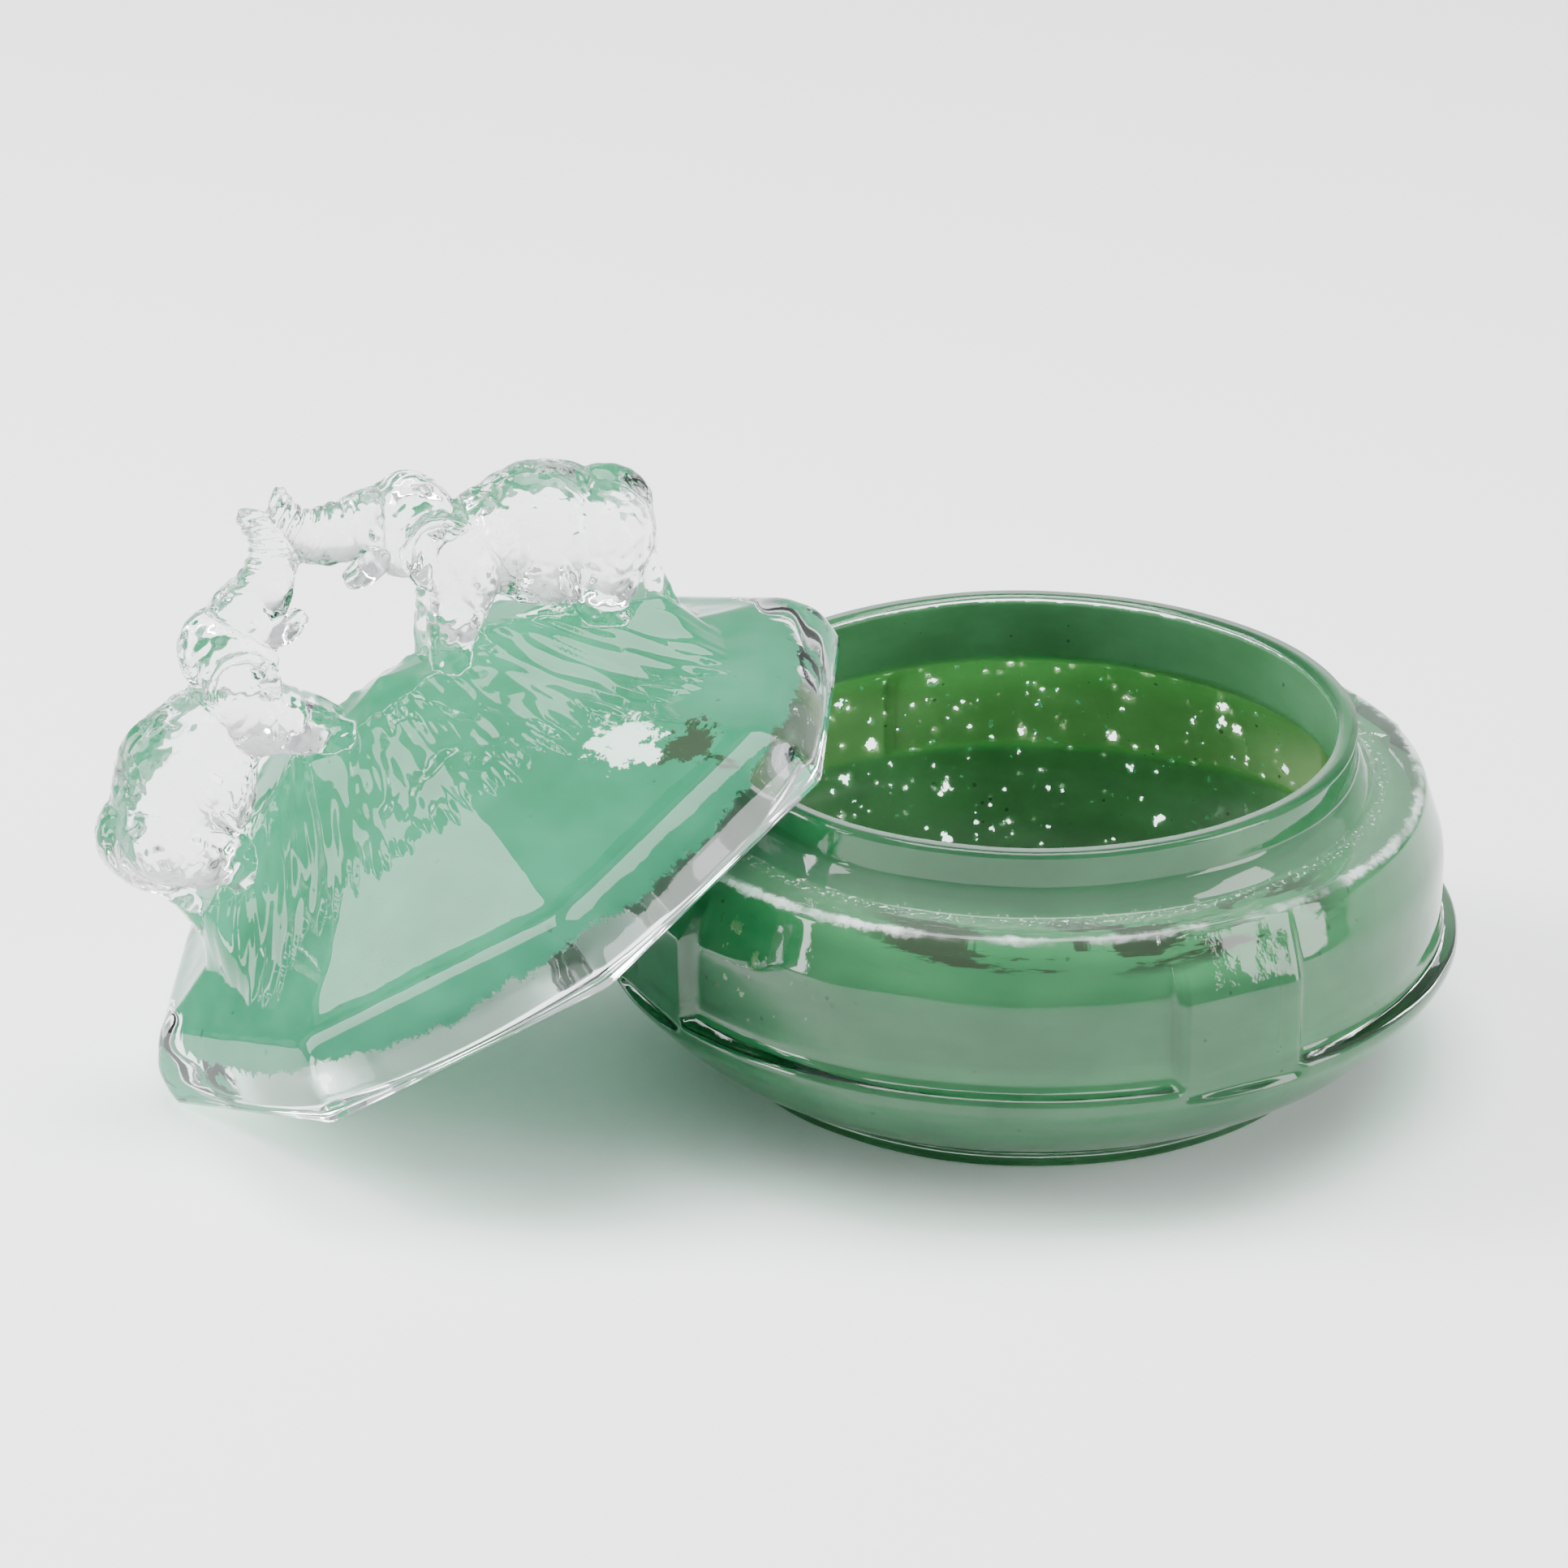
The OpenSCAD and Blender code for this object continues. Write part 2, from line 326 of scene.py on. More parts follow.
def turf(name):
    """The grassy bank: a ridge that carries the animals, with blades that run down the roof."""
    along = np.arange(-TURF_LONG, TURF_LONG + 0.01, TURF_GRID)
    across = np.arange(-TURF_WIDE, TURF_WIDE + 0.01, TURF_GRID)
    x, y = np.meshgrid(along, across, indexing="ij")
    # The grid's corners are drawn in, so that they stay inside the lid
    far = np.maximum(np.hypot(x, y), 1e-6)
    draw = np.minimum(1, (44 + 0.35 * (far - 44)) / far)
    x, y = x * draw, y * draw
    side = np.abs(y)
    climb = CREST_Z + 3.6 - 0.52 * (np.abs(x) - 13)
    crest = CREST_Z + (climb - CREST_Z) * smooth_step(11, 17, np.abs(x))
    half = 6.5 - 0.05 * np.abs(x)
    bank = crest - 0.85 * np.maximum(side - half, 0)
    ground = roof_z(x, y)
    # Blades fan out down the slope from the ridge
    fan = np.arctan2(x * 0.55, side + 16) * 30
    blades = ripples(fan / 1.2, side / 4.5, seed=3) + 0.3 * ripples(fan / 0.55, side / 4, seed=8)
    clumps = ripples(x / 7, y / 7, seed=5)
    relief = 0.48 * blades + 0.4 * clumps
    edge = 28 + 5.0 * ripples(fan / 0.5, side / 30, seed=1) + 3 * clumps - 0.16 * np.abs(x)
    fade = 1 - smooth_step(edge - 3.5, edge, side)
    ends = 1 - smooth_step(40, 45 + 2 * clumps, np.abs(x))
    mound = np.logaddexp((bank - ground) / 1.2, 0) * 1.2
    lift = (0.5 + mound + relief * smooth_step(2, 8, side)) * fade * ends
    top = ground + lift - 1.2 * (1 - fade * ends)
    n, m = x.shape
    base = ground - 3
    vertices = np.concatenate([
        np.stack([x, y, top], -1).reshape(-1, 3), np.stack([x, y, base], -1).reshape(-1, 3)])
    count = n * m
    faces = []
    for i in range(n - 1):
        for k in range(m - 1):
            a, b, c, d = i * m + k, (i + 1) * m + k, (i + 1) * m + k + 1, i * m + k + 1
            faces.append((a, b, c, d))
            faces.append((count + d, count + c, count + b, count + a))
    rim = [i * m for i in range(n)] + [(n - 1) * m + k for k in range(1, m)]
    rim += [i * m + m - 1 for i in range(n - 2, -1, -1)] + [k for k in range(m - 2, 0, -1)]
    for a, b in zip(rim, rim[1:] + rim[:1]):
        faces.append((b, a, count + a, count + b))
    return mesh_from(name, vertices, faces)


def unit_ball(segments):
    """Vertices and faces of a ball of radius 1."""
    build = bmesh.new()
    bmesh.ops.create_uvsphere(
        build, u_segments=segments, v_segments=segments // 2, radius=1)
    vertices = np.array([v.co for v in build.verts])
    faces = [[v.index for v in f.verts] for f in build.faces]
    build.free()
    return vertices, faces


BALLS = {segments: unit_ball(segments) for segments in (14, 28)}


def add_ball(build, centre, radii, turn=0.0, tilt=0.0, segments=28):
    """Adds an ellipsoid to build, turned in the ridge's upright plane and tilted about X."""
    vertices, faces = BALLS[segments]
    spin = (Matrix.Rotation(math.radians(turn), 3, "Y")
            @ Matrix.Rotation(math.radians(tilt), 3, "X"))
    start = sum(len(v) for v, f in build)
    moved = (vertices * np.array(radii)) @ np.array(spin).T + np.array(centre)
    build.append((moved, [[i + start for i in face] for face in faces]))


def add_limb(build, balls, flat=1.0, spacing=0.35):
    """A limb of closely set balls along a smooth path of (x, y, z, radius)."""
    points = [Vector(b) for b in balls]
    for i in range(len(points) - 1):
        before = points[max(i - 1, 0)]
        after = points[min(i + 2, len(points) - 1)]
        start, end = points[i], points[i + 1]
        steps = max(2, int((end - start).length / (spacing * max(1.0, start[3]))))
        for k in range(steps + (i == len(points) - 2)):
            t = k / steps
            p = 0.5 * (2 * start + (end - before) * t
                       + (2 * before - 5 * start + 4 * end - after) * t * t
                       + (3 * start - before - 3 * end + after) * t ** 3)
            add_ball(build, p[:3], (p[3], p[3] * flat, p[3]), segments=14)


def elephant(build, lift, tuck):
    """One animal on the +X side: it climbs toward the middle with its trunk raised.

    lift moves the forehead up, and tuck brings the trunk's tip inward."""
    add_ball(build, (31.8, 0, 39.6), (12.6, 9.4, 10.6), turn=42)
    add_ball(build, (37.4, 0, 35.4), (9.0, 9.2, 9.2), turn=20)
    add_ball(build, (26.6, 0, 42.4), (9.0, 8.4, 8.4), turn=40)
    add_ball(build, (20.2, 0, 45.8), (6.4, 6.4, 6.2), turn=40)
    add_ball(build, (16.4, 0, 53.4 + lift), (6.8, 6.0, 6.7))
    add_ball(build, (11.6, 0, 56.2 + lift), (5.4, 4.8, 4.9))
    add_ball(build, (14.0, 0, 50.6), (5.0, 5.0, 5.2))
    # Trunk, with its tip curled up against the other one
    add_limb(build, [(11.6, 0, 56.2 + lift, 4.8), (7.2, 0, 57.4 + lift, 4.5), (3.4, 0, 59.2, 4.0),
                     (2.0 - tuck, 0, 62.4, 3.1), (2.3 - tuck, 0, 65.2, 2.2),
                     (3.2 - tuck, 0, 67.3, 1.25)])
    # Tail: a fat loop over the rump, then down to the grass
    add_limb(build, [(42.2, 0, 41.4, 2.2), (45.0, 0, 39.4, 2.0), (46.2, 0, 36.2, 1.9),
                     (45.0, 0, 32.4, 1.7), (42.4, 0, 28.2, 1.7), (41.2, 0, 23.4, 1.8),
                     (40.8, 0, 17.6, 1.6)], flat=1.5)
    for side in (-1, 1):
        # Ear: a flat flap with a raised edge
        add_ball(build, (17.4, side * 5.6, 48.2), (5.6, 1.5, 5.9), turn=20, tilt=side * 10)
        ring = [(17.2 + 4.9 * math.cos(a), side * (6.5 + 0.5 * math.sin(a)),
                 48.0 + 5.2 * math.sin(a), 0.72)
                for a in np.linspace(math.radians(20), math.radians(345), 16)]
        add_limb(build, ring, spacing=0.8)
        # Eye and brow, tusk and lower lip
        add_ball(build, (11.0, side * 4.4, 55.6 + lift), (0.95, 0.8, 0.95), segments=14)
        brow = [(11.0 + 1.9 * math.cos(a), side * 4.2, 55.6 + lift + 1.8 * math.sin(a), 0.42)
                for a in np.linspace(0, 2 * math.pi, 13)]
        add_limb(build, brow, spacing=0.8)
        add_limb(build, [(11.0, side * 2.0, 52.6, 2.4), (7.6, side * 2.0, 50.6, 1.9),
                         (4.6, side * 1.7, 50.7, 1.2)])
        # Foreleg, stretched toward the crest, and hind leg with its knee
        add_limb(build, [(19.6, side * 3.4, 43.4, 5.4), (15.0, side * 4.0, 39.0, 4.4),
                         (11.2, side * 4.2, 35.2, 3.7), (9.8, side * 4.2, 31.6, 4.0)])
        add_limb(build, [(38.6, side * 3.6, 35.2, 6.6), (35.6, side * 4.6, 30.6, 5.0),
                         (32.2, side * 4.6, 27.4, 4.0), (31.6, side * 4.6, 22.8, 4.2)])
        # Fold of skin that hangs from the hip
        fold = [(31.6, side * 8.2, 40.4, 0.8), (30.6, side * 8.4, 36.0, 0.9),
                (29.6, side * 7.4, 31.4, 0.8)]
        add_limb(build, fold)


def handle(name):
    """Both animals, joined at the trunks, as one closed skin."""
    right, left = [], []
    elephant(right, 0.0, 0.0)
    elephant(left, -0.6, 0.3)
    count = sum(len(v) for v, f in right)
    vertices = [v for v, f in right] + [v * (-1, 1, 1) for v, f in left]
    faces = [face for v, f in right for face in f]
    faces += [[i + count for i in face[::-1]] for v, f in left for face in f]
    obj = mesh_from(name, np.concatenate(vertices), faces)
    skin = obj.modifiers.new("skin", "REMESH")
    skin.mode = "VOXEL"
    skin.voxel_size = SKIN_GRAIN * MM
    melt = obj.modifiers.new("melt", "SMOOTH")
    melt.factor = 0.5
    melt.iterations = 5
    applied(obj)
    return obj


def applied(obj):
    """Replaces an object's mesh by what its modifiers make of it."""
    graph = bpy.context.evaluated_depsgraph_get()
    mesh = bpy.data.meshes.new_from_object(obj.evaluated_get(graph), depsgraph=graph)
    old = obj.data
    obj.modifiers.clear()
    obj.data = mesh
    mesh.name = obj.name
    bpy.data.meshes.remove(old)


def wrinkle(obj):
    """Presses skin folds into the animals: rings round the trunks, faint creases elsewhere."""
    mesh = obj.data
    count = len(mesh.vertices)
    points = np.empty(count * 3)
    normals = np.empty(count * 3)
    mesh.vertices.foreach_get("co", points)
    mesh.vertices.foreach_get("normal", normals)
    points = points.reshape(-1, 3) / MM
    normals = normals.reshape(-1, 3)
    x, y, z = points.T
    side = np.abs(x)
    trunk = smooth_step(56.5, 59, z) * (1 - smooth_step(9, 12, side))
    rings = np.sin((z - 0.6 * side) * 3.6) * 0.14 * trunk
    creases = ripples(x / 5, y / 3, z / 9, seed=11) * 0.50
    fine = ripples(x / 1.6, y / 1.6, z / 1.6, seed=12) * 0.16
    points += normals * (rings + creases + fine)[:, None]
    mesh.vertices.foreach_set("co", (points * MM).ravel())
    mesh.update()


def joined(base, *others):
    """One closed solid of base and the others, which are taken away."""
    for other in others:
        union = base.modifiers.new("union", "BOOLEAN")
        union.operation = "UNION"
        union.solver = "MANIFOLD"
        union.object = other
    applied(base)
    for other in others:
        mesh = other.data
        bpy.data.objects.remove(other)
        bpy.data.meshes.remove(mesh)
    base.data.materials.clear()
    for polygon in base.data.polygons:
        polygon.use_smooth = True
        polygon.material_index = 0


animals = handle("animals")
wrinkle(animals)
joined(lid_plate, turf("turf"), animals)
lid_plate.data.transform(lean_matrix())

lid_coated = lid_under[lid_under[:, 1] > HOLLOW_LIP_Z]
lid_coat = turned("lid_coat", coat_shell(lid_coated, -1), None, lean_matrix())


# ---- Materials ----------------------------------------------------------------------------

class Nodes:
    """A node material with short helpers."""

    def __init__(self, name):
        self.material = bpy.data.materials.new(name)
        self.material.use_nodes = True
        self.tree = self.material.node_tree
        self.tree.nodes.clear()
        self.place = self.add("ShaderNodeTexCoord").outputs["Object"]

    def add(self, kind, **values):
        node = self.tree.nodes.new(kind)
        for key, value in values.items():
            self.feed(node.inputs[key.replace("_", " ")], value)
        return node

    def feed(self, socket, value):
        if isinstance(value, bpy.types.NodeSocket):
            self.tree.links.new(value, socket)
        else:
            socket.default_value = value

    def moved(self, matrix):
        """Object coordinates turned into a part's own frame."""
        node = self.tree.nodes.new("ShaderNodeMapping")
        node.vector_type = "POINT"
        spin = matrix.to_3x3().inverted().to_euler()
        shift = -(matrix.inverted().to_3x3() @ matrix.translation)
        self.feed(node.inputs["Vector"], self.place)
        node.inputs["Rotation"].default_value = spin
        node.inputs["Location"].default_value = shift
        return node.outputs["Vector"]

    def noise(self, scale, detail=4.0, rough=0.55, stretch=(1, 1, 1), place=None):
        mapping = self.tree.nodes.new("ShaderNodeMapping")
        self.feed(mapping.inputs["Vector"], place or self.place)
        mapping.inputs["Scale"].default_value = stretch
        node = self.add("ShaderNodeTexNoise", Scale=scale, Detail=detail, Roughness=rough)
        self.feed(node.inputs["Vector"], mapping.outputs["Vector"])
        return node.outputs["Fac"]

    def specks(self, scale, share, size, ragged=0.25):
        """1 in irregular specks: share of the cells hold one, each up to size of its cell wide."""
        bend = self.add("ShaderNodeTexNoise", Scale=scale * 2.2, Detail=3.0)
        self.feed(bend.inputs["Vector"], self.place)
        pushed = self.tree.nodes.new("ShaderNodeMix")
        pushed.data_type = "VECTOR"
        self.feed(pushed.inputs["Factor"], ragged / scale)
        vectors = [i for i in pushed.inputs if i.type == "VECTOR"]
        self.feed(vectors[-2], self.place)
        self.feed(vectors[-1], bend.outputs["Color"])
        cells = self.add("ShaderNodeTexVoronoi", Scale=scale)
        self.feed(cells.inputs["Vector"], [o for o in pushed.outputs if o.type == "VECTOR"][0])
        pick = self.add("ShaderNodeSeparateColor")
        self.feed(pick.inputs["Color"], cells.outputs["Color"])
        reach = self.math("MULTIPLY", self.step(1 - share, 1.0, pick.outputs[0]), size)
        return self.math("LESS_THAN", cells.outputs["Distance"], reach)

    def math(self, operation, *values):
        node = self.tree.nodes.new("ShaderNodeMath")
        node.operation = operation
        for socket, value in zip(node.inputs, values):
            self.feed(socket, value)
        return node.outputs[0]

    def step(self, low, high, value):
        """0 at low and 1 at high, smoothly."""
        node = self.tree.nodes.new("ShaderNodeMapRange")
        node.interpolation_type = "SMOOTHSTEP"
        self.feed(node.inputs["Value"], value)
        node.inputs["From Min"].default_value = low
        node.inputs["From Max"].default_value = high
        return node.outputs["Result"]

    def mix(self, factor, first, second):
        node = self.tree.nodes.new("ShaderNodeMix")
        node.data_type = "RGBA"
        self.feed(node.inputs["Factor"], factor)
        colours = [i for i in node.inputs if i.type == "RGBA"]
        self.feed(colours[0], first)
        self.feed(colours[1], second)
        return [o for o in node.outputs if o.type == "RGBA"][0]

    def mix_shader(self, factor, first, second):
        node = self.tree.nodes.new("ShaderNodeMixShader")
        self.feed(node.inputs[0], factor)
        self.feed(node.inputs[1], first)
        self.feed(node.inputs[2], second)
        return node.outputs[0]

    def bump(self, height, distance, strength=1.0):
        node = self.add("ShaderNodeBump", Strength=strength, Distance=distance, Height=height)
        return node.outputs["Normal"]

    def split(self, place=None):
        """The x, y, z sockets, and the distance from the Z axis."""
        node = self.add("ShaderNodeSeparateXYZ")
        self.feed(node.inputs["Vector"], place or self.place)
        x, y, z = node.outputs
        r = self.math("SQRT", self.math("ADD", self.math("MULTIPLY", x, x),
                                        self.math("MULTIPLY", y, y)))
        return x, y, z, r

    def finish(self, shader):
        output = self.tree.nodes.new("ShaderNodeOutputMaterial")
        self.feed(output.inputs["Surface"], shader)
        return self.material


def glass(name, tint, shade, wear):
    """Old pressed glass: clear and slightly wavy, with faint scuffs.

    shade is the colour of its shadow. wear(n) gives a mask and a shader for what covers it."""
    n = Nodes(name)
    height = n.math("ADD", n.noise(90, 2.0, 0.4), n.math("MULTIPLY", n.noise(700, 3.0, 0.6), 0.05))
    scuff = n.noise(260, 6.0, 0.7)
    rough = n.math("MULTIPLY", n.step(0.58, 0.75, scuff), 0.10)
    body = n.add("ShaderNodeBsdfPrincipled", Roughness=rough, Normal=n.bump(height, 0.0004, 0.5))
    body.inputs["Base Color"].default_value = tint
    body.inputs["Transmission Weight"].default_value = 1.0
    body.inputs["IOR"].default_value = 1.5
    surface = body.outputs[0]
    for mask, cover in wear(n):
        surface = n.mix_shader(mask, surface, cover)
    # Lamps reach through the glass, so its shadow stays light
    lamp = n.add("ShaderNodeLightPath").outputs["Is Shadow Ray"]
    clear = n.add("ShaderNodeBsdfTransparent")
    clear.inputs["Color"].default_value = shade
    return n.finish(n.mix_shader(lamp, surface, clear.outputs[0]))


def ground_glass(n):
    """Worn glass: white and rough."""
    node = n.add("ShaderNodeBsdfPrincipled", Roughness=0.5)
    node.inputs["Base Color"].default_value = (0.78, 0.84, 0.82, 1)
    return node.outputs[0]


def grime(n):
    """Old dirt."""
    node = n.add("ShaderNodeBsdfPrincipled", Roughness=0.8)
    n.feed(node.inputs["Base Color"], n.mix(n.noise(900), (0.10, 0.06, 0.03, 1), (0.30, 0.20, 0.11, 1)))
    return node.outputs[0]


def bowl_wear(n):
    """The lid has rubbed the shoulder's edge white, speckled the seat and dulled it to the neck."""
    z, r = n.split()[2:]
    ragged = n.math("MULTIPLY", n.math("SUBTRACT", n.noise(420, 6, 0.75), 0.5), 0.0042)
    off = n.math("ADD", n.math("ABSOLUTE", n.math("SUBTRACT", r, EDGE_R * MM)),
                 n.math("ABSOLUTE", n.math("SUBTRACT", z, EDGE_Z * MM)))
    edge = n.step(0.0015, 0.0002, n.math("ADD", off, ragged))
    broken = n.step(0.40, 0.62, n.noise(70, 4, 0.6))
    rub = n.math("MULTIPLY", n.math("MULTIPLY", edge, broken), 0.6)
    track = n.math("ABSOLUTE", n.math("SUBTRACT", r, LID_TRACK_R * MM))
    seat = n.step(0.0016, 0.0004, track)
    flat = n.math("MULTIPLY", n.step(0.0420, 0.0423, z), n.step(0.0436, 0.0428, z))
    dots = n.step(0.56, 0.66, n.noise(1300, 4, 0.7))
    grains = n.math("MULTIPLY", n.math("MULTIPLY", seat, flat), n.math("MULTIPLY", dots, 0.7))
    around_neck = n.math("MULTIPLY", n.step(0.0586, 0.0566, r), n.step(0.0405, 0.0420, z))
    haze = n.math("MULTIPLY", n.math("MULTIPLY", around_neck, n.step(0.0475, 0.0440, z)), 0.045)
    return [(rub, ground_glass(n)), (haze, ground_glass(n)), (grains, ground_glass(n))]


def lid_wear(n):
    """A little dirt in the grass near the animals' feet."""
    spot = n.moved(lean_matrix())
    y, z = n.split(spot)[1:3]
    bank = n.math("MULTIPLY", n.step(0.0315, 0.0335, z), n.step(0.0360, 0.0345, z))
    side = n.step(0.0045, 0.0075, n.math("ABSOLUTE", y))
    patch = n.step(0.60, 0.66, n.noise(160, 5, 0.7, place=spot))
    dirt = n.math("MULTIPLY", n.math("MULTIPLY", bank, side), n.math("MULTIPLY", patch, 0.85))
    return [(dirt, grime(n))]


def lacquer(name, tone_of, flakes, clear_share, gloss, shine):
    """Green lacquer: light scatters in it, and some passes straight through.

    tone_of(n) gives its colour. flakes(n) gives where it is chipped white, and where it is gone."""
    n = Nodes(name)
    tone = tone_of(n)
    skin = n.add("ShaderNodeBsdfPrincipled", Normal=n.bump(n.noise(900, 4.0, 0.6), 0.0001, 0.3))
    n.feed(skin.inputs["Base Color"], tone)
    skin.inputs["Roughness"].default_value = gloss
    skin.inputs["Specular IOR Level"].default_value = shine
    glow = n.add("ShaderNodeBsdfTranslucent")
    n.feed(glow.inputs["Color"], tone)
    solid = n.mix_shader(0.5, skin.outputs[0], glow.outputs[0])
    through = n.add("ShaderNodeBsdfTransparent")
    n.feed(through.inputs["Color"], tone)
    film = n.mix_shader(clear_share, solid, through.outputs[0])
    white = n.add("ShaderNodeBsdfTranslucent")
    white.inputs["Color"].default_value = (0.95, 0.97, 0.96, 1)
    chalk = n.add("ShaderNodeBsdfDiffuse")
    chalk.inputs["Color"].default_value = (0.85, 0.88, 0.86, 1)
    chipped, gone = flakes(n)
    film = n.mix_shader(chipped, film, n.mix_shader(0.5, white.outputs[0], chalk.outputs[0]))
    bare = n.add("ShaderNodeBsdfTransparent")
    return n.finish(n.mix_shader(gone, film, bare.outputs[0]))


OLIVE = (0.035, 0.060, 0.030, 1)


def cloudy(n, deep, pale):
    """Two shades of one colour, in soft clouds."""
    cloud = n.math("ADD", n.math("MULTIPLY", n.noise(48, 3.0, 0.5), 0.6),
                   n.math("MULTIPLY", n.noise(60, 4.0, 0.6, stretch=(1, 1, 3)), 0.4))
    tone = n.mix(n.step(0.35, 0.68, cloud), deep, pale)
    return n.mix(n.math("MULTIPLY", n.specks(800, 0.05, 0.30), 0.6), tone, (0.02, 0.07, 0.04, 1))


def bowl_front(n):
    """The bowl's coat, with dark streaks under the shoulder's worn edge at the front right."""
    x, y, z = n.split()[:3]
    coat = cloudy(n, (0.034, 0.205, 0.080, 1), (0.068, 0.280, 0.122, 1))
    spot = n.math("MULTIPLY", n.step(-0.028, -0.018, x), n.step(0.044, 0.036, x))
    front = n.math("MULTIPLY", spot, n.step(-0.020, -0.026, y))
    band = n.math("MULTIPLY", n.step(0.0345, 0.0368, z), n.step(0.0396, 0.0386, z))
    streak = n.step(0.50, 0.54, n.noise(60, 6, 0.7, stretch=(1, 1, 9)))
    stain = n.math("MULTIPLY", n.math("MULTIPLY", front, band), streak)
    return n.mix(stain, coat, OLIVE)


def bowl_back(n):
    """Inside: the floor painted dark as shade where the table blocks light, the upright wall painted
    bright yellow-green as light coming through the belt, cooler up the neck.
    """
    z = n.split()[2]
    # Painted shade on the floor and painted light on the upright wall, chosen by height
    floor_painted_shade = cloudy(n, (0.210, 0.390, 0.210, 1), (0.300, 0.510, 0.300, 1))
    wall_painted_glow = cloudy(n, (0.390, 0.560, 0.270, 1), (0.500, 0.660, 0.350, 1))
    neck_tone = cloudy(n, (0.095, 0.270, 0.125, 1), (0.140, 0.340, 0.185, 1))
    upper = n.mix(n.step(0.0395, 0.0415, z), wall_painted_glow, neck_tone)
    return n.mix(n.step(0.0195, 0.0215, z), floor_painted_shade, upper)


def lid_front(n):
    """The lid's coat, with a dark olive stain beside the patch that has come off."""
    x, y = n.split(n.moved(lean_matrix()))[:2]
    coat = cloudy(n, (0.020, 0.225, 0.120, 1), (0.050, 0.310, 0.190, 1))
    return n.mix(blot(n, x, y, STAIN_PATCH, 0.0040), coat, OLIVE)


def lid_back(n):
    """The bare side of the lid's coat."""
    return cloudy(n, (0.100, 0.400, 0.250, 1), (0.160, 0.500, 0.340, 1))


def lip_line(n):
    """The worn upper edge of the bowl's coat."""
    z = n.split()[2]
    top = COAT_TOP * MM
    ragged = n.math("MULTIPLY", n.math("SUBTRACT", n.noise(420, 5, 0.7), 0.5), 0.0016)
    return n.step(top - 0.0004, top - 0.0001, n.math("ADD", z, ragged))


def bowl_flakes(n):
    """Small chips clean through the coat, in clusters on the wall and floor at the far left."""
    x, y, z = n.split()[:3]
    lean = n.math("ADD", n.noise(26, 2.0, 0.5),
                  n.math("MULTIPLY", n.math("SUBTRACT", y, x), 1.6))
    cluster = n.step(0.52, 0.62, lean)
    small = n.specks(900, 0.20, 0.42, 0.9)
    large = n.specks(430, 0.16, 0.46, 1.1)
    chips = n.math("MULTIPLY", n.math("MAXIMUM", small, large), cluster)
    below_neck = n.step(0.0400, 0.0390, z)
    return 0.0, n.math("MAXIMUM", n.math("MULTIPLY", chips, below_neck), lip_line(n))


def lid_flakes(n):
    """The coat ends raggedly near the rim, and one patch has come off under the roof."""
    x, y, z = n.split(n.moved(lean_matrix()))[:3]
    ragged = n.math("MULTIPLY", n.math("SUBTRACT", n.noise(260, 6, 0.75), 0.5), 0.006)
    edge = n.step(0.0046, 0.0041, n.math("ADD", z, ragged))
    return blot(n, x, y, BARE_PATCH, 0.0046), edge


def blot(n, x, y, middle, size):
    """1 inside a ragged patch about middle."""
    off_x = n.math("SUBTRACT", x, middle[0])
    off_y = n.math("SUBTRACT", y, middle[1])
    far = n.math("SQRT", n.math("ADD", n.math("MULTIPLY", off_x, off_x),
                                n.math("MULTIPLY", off_y, off_y)))
    ragged = n.math("MULTIPLY", n.math("SUBTRACT", n.noise(300, 6, 0.75), 0.5), 0.024)
    return n.step(size, size - 0.0003, n.math("ADD", far, ragged))


def paint_coat(coat, front, back):
    """Gives a coat's glass side and its bare side their own materials."""
    coat.data.materials.append(front)
    coat.data.materials.append(back)
    bitten_faces = (coat["rows"] // 2) * AROUND
    for polygon in coat.data.polygons:
        polygon.material_index = int(polygon.index >= bitten_faces)


bowl.data.materials.append(
    glass("bowl_glass", (0.955, 0.985, 0.970, 1), (0.50, 0.70, 0.57, 1), bowl_wear))
lid_plate.data.materials.append(
    glass("lid_glass", (0.970, 0.990, 0.982, 1), (0.50, 0.70, 0.58, 1), lid_wear))
paint_coat(bowl_coat, lacquer("bowl_lacquer", bowl_front, bowl_flakes, 0.08, 0.5, 0.0),
           lacquer("bowl_lacquer_inside", bowl_back, bowl_flakes, 0.08, 0.35, 0.3))
paint_coat(lid_coat, lacquer("lid_lacquer", lid_front, lid_flakes, 0.05, 0.5, 0.0),
           lacquer("lid_lacquer_inside", lid_back, lid_flakes, 0.05, 0.25, 0.5))

for piece, body, node, slot in (
        (bowl, "jar", "bowl", "bowl_glass"), (bowl_coat, "jar", "bowl_lacquer", "bowl_coat"),
        (lid_plate, "cover", "lid", "lid_glass"), (lid_coat, "cover", "lid_lacquer", "lid_coat")):
    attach(piece, body)
    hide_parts(node)


# ---- Stage --------------------------------------------------------------------------------

def plain(name, colour, roughness):
    """Matt paper, painted darker toward the back as shade where less light reaches it, with a faint
    mottle.
    """
    n = Nodes(name)
    y = n.split()[1]
    # Painted shade: the tone falls off toward the back, plus a little random mottle
    dim = n.math("ADD", n.step(-0.35, 0.75, y), n.math("MULTIPLY", n.noise(30, 3.0, 0.5), 0.05))
    tone = n.mix(dim, colour, [c * 0.76 for c in colour[:3]] + [1])
    node = n.add("ShaderNodeBsdfPrincipled", Roughness=roughness)
    n.feed(node.inputs["Base Color"], tone)
    return n.finish(node.outputs[0])


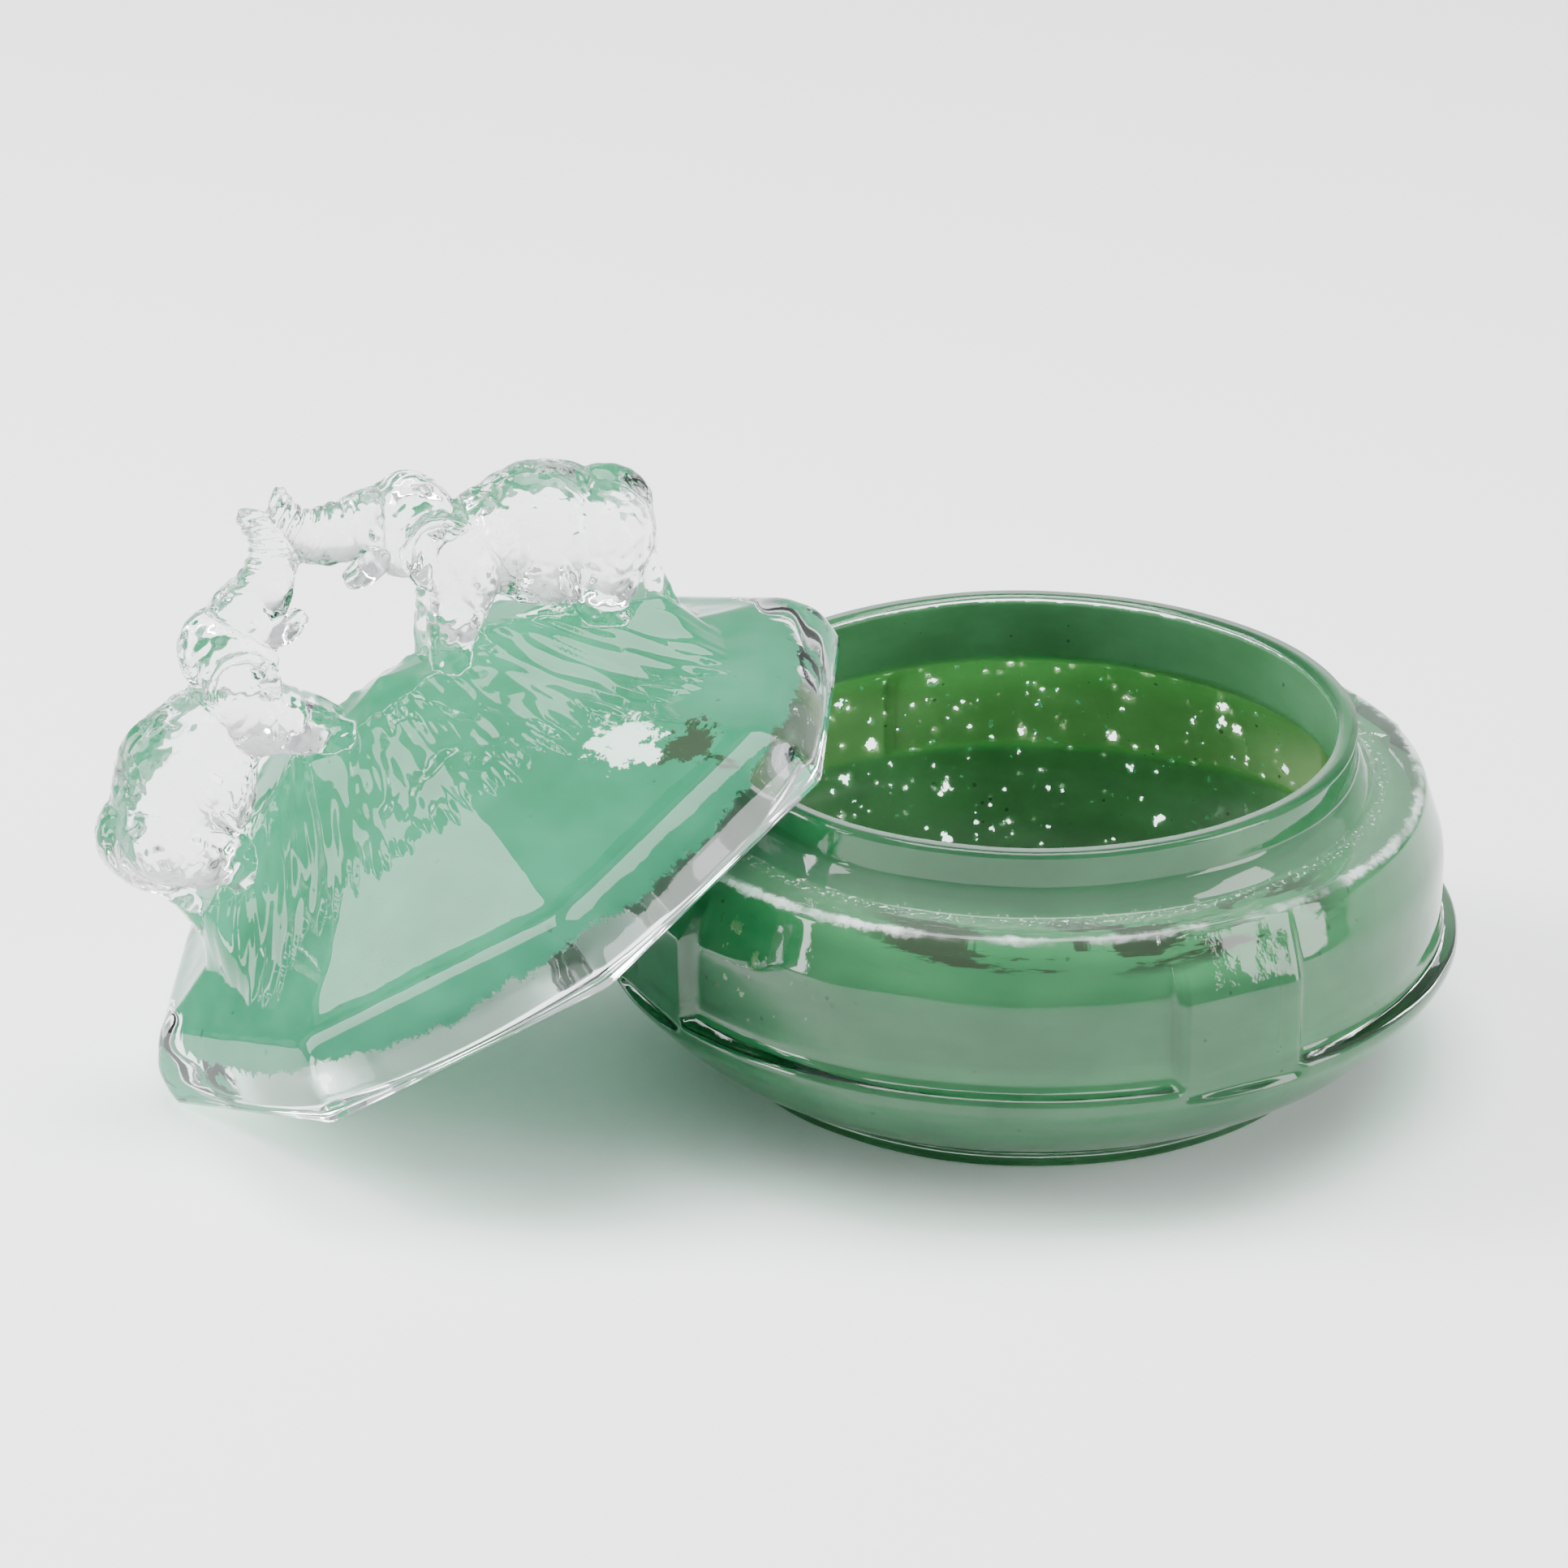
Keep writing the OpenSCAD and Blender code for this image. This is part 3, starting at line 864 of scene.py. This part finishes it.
def sweep(name):
    """A pale floor that curves up into the background."""
    line = [(-1.6, 0.0), (1.0, 0.0)]
    line += [(1.0 + 0.7 * math.sin(a), 0.7 - 0.7 * math.cos(a))
             for a in np.linspace(0, math.pi / 2, 24)[1:]]
    line += [(1.7, 2.4)]
    vertices = [(side * 2400, y * 1000, z * 1000) for y, z in line for side in (-1, 1)]
    faces = [(2 * i, 2 * i + 1, 2 * i + 3, 2 * i + 2) for i in range(len(line) - 1)]
    return mesh_from(name, vertices, faces)


floor = sweep("floor")
floor.data.materials.append(plain("paper", (0.92, 0.925, 0.94, 1), 0.6))


def soft_box(name, place, target, size, power, shine=True):
    """A rectangular lamp. Without shine it lights the object but isn't mirrored in the glass."""
    lamp = bpy.data.lights.new(name, "AREA")
    lamp.shape = "RECTANGLE"
    lamp.size, lamp.size_y = size
    lamp.energy = power
    obj = bpy.data.objects.new(name, lamp)
    obj.visible_glossy = shine
    obj.location = place
    obj.rotation_euler = (Vector(target) - Vector(place)).to_track_quat("-Z", "Y").to_euler()
    bpy.context.scene.collection.objects.link(obj)


soft_box("key_left", (-1.10, 0.10, 0.72), (-0.03, 0, 0.03), (0.70, 0.80), 14)
soft_box("key_left_matt", (-1.10, 0.20, 0.80), (-0.03, 0, 0.03), (0.50, 0.60), 26, shine=False)
soft_box("window_left", (-1.10, -0.42, 0.20), (0, 0, 0.04), (0.30, 0.32), 5)
soft_box("fill_right", (1.12, -0.40, 0.44), (0, 0, 0.03), (0.56, 0.78), 14)
soft_box("top", (0.05, 0.20, 1.38), (0, 0, 0), (1.0, 0.9), 23)
soft_box("top_matt", (0.0, 0.30, 1.30), (0, 0, 0), (0.8, 0.7), 25, shine=False)

def studio(name, light, mirrored):
    """A dim room, which the glass mirrors as brightly as pale studio walls."""
    world = bpy.data.worlds.new(name)
    world.use_nodes = True
    nodes = world.node_tree.nodes
    room = nodes["Background"]
    room.inputs["Color"].default_value = (0.86, 0.87, 0.90, 1)
    path = nodes.new("ShaderNodeLightPath")
    level = nodes.new("ShaderNodeMath")
    level.operation = "MULTIPLY_ADD"
    level.inputs[1].default_value = mirrored - light
    level.inputs[2].default_value = light
    world.node_tree.links.new(path.outputs["Is Glossy Ray"], level.inputs[0])
    world.node_tree.links.new(level.outputs[0], room.inputs["Strength"])
    bpy.context.scene.world = world


studio("studio", 0.16, 1.1)

camera_data = bpy.data.cameras.new("camera")
camera_data.sensor_width = 36
camera_data.lens = 165.9
camera_data.clip_end = 20
camera = bpy.data.objects.new("camera", camera_data)
camera.location = (-0.03594, -0.96574, 0.47887)
camera.rotation_euler = (math.radians(90 - 24.4255), 0, 0)
bpy.context.scene.collection.objects.link(camera)
bpy.context.scene.camera = camera
